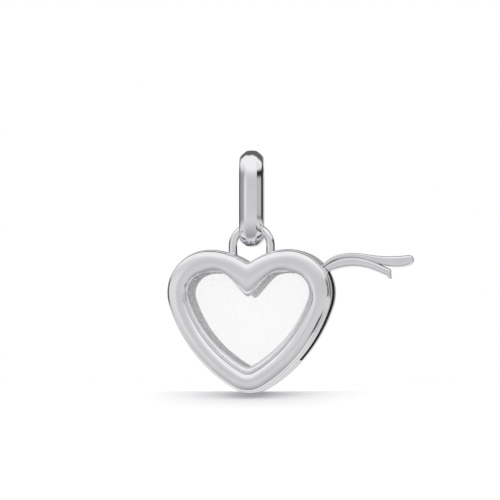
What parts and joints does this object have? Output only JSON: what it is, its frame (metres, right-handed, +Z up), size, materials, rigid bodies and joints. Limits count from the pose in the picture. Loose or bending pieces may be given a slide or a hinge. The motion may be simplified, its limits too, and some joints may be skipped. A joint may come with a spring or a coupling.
{
  "type": "floating locket",
  "caption": "Heart-shaped floating locket with clear windows front and back, a side gate swung open on its hinge, a soldered hanging ring and a closed loop bail.",
  "frame": {"origin": "top of the space inside the bail, where a chain bears", "axes": "+Z up through the bail, -Y out of the heart's front window, +X towards the side with the gate"},
  "size_m": [0.0333, 0.0072, 0.0329],
  "materials": {
    "silver": "polished",
    "window": "clear"
  },
  "bodies": {
    "hanger": {"bail": "silver"},
    "locket": {"case_band": "silver", "front_frame": "silver", "back_frame": "silver", "front_glass": "window", "back_glass": "window", "gate_pin": "silver"},
    "door": {"gate": "silver"}
  },
  "joints": [
    {"name": "locket_swing", "type": "hinge", "parent": "hanger", "child": "locket", "pos_m": [0, 0, -0.00981], "axis": [1, 0, 0], "range_deg": [-75, 75]},
    {"name": "gate_hinge", "type": "hinge", "parent": "locket", "child": "door", "pos_m": [0.00969, 0, -0.01523], "axis": [0, 1, 0], "range_deg": [0, 109]}
  ]
}
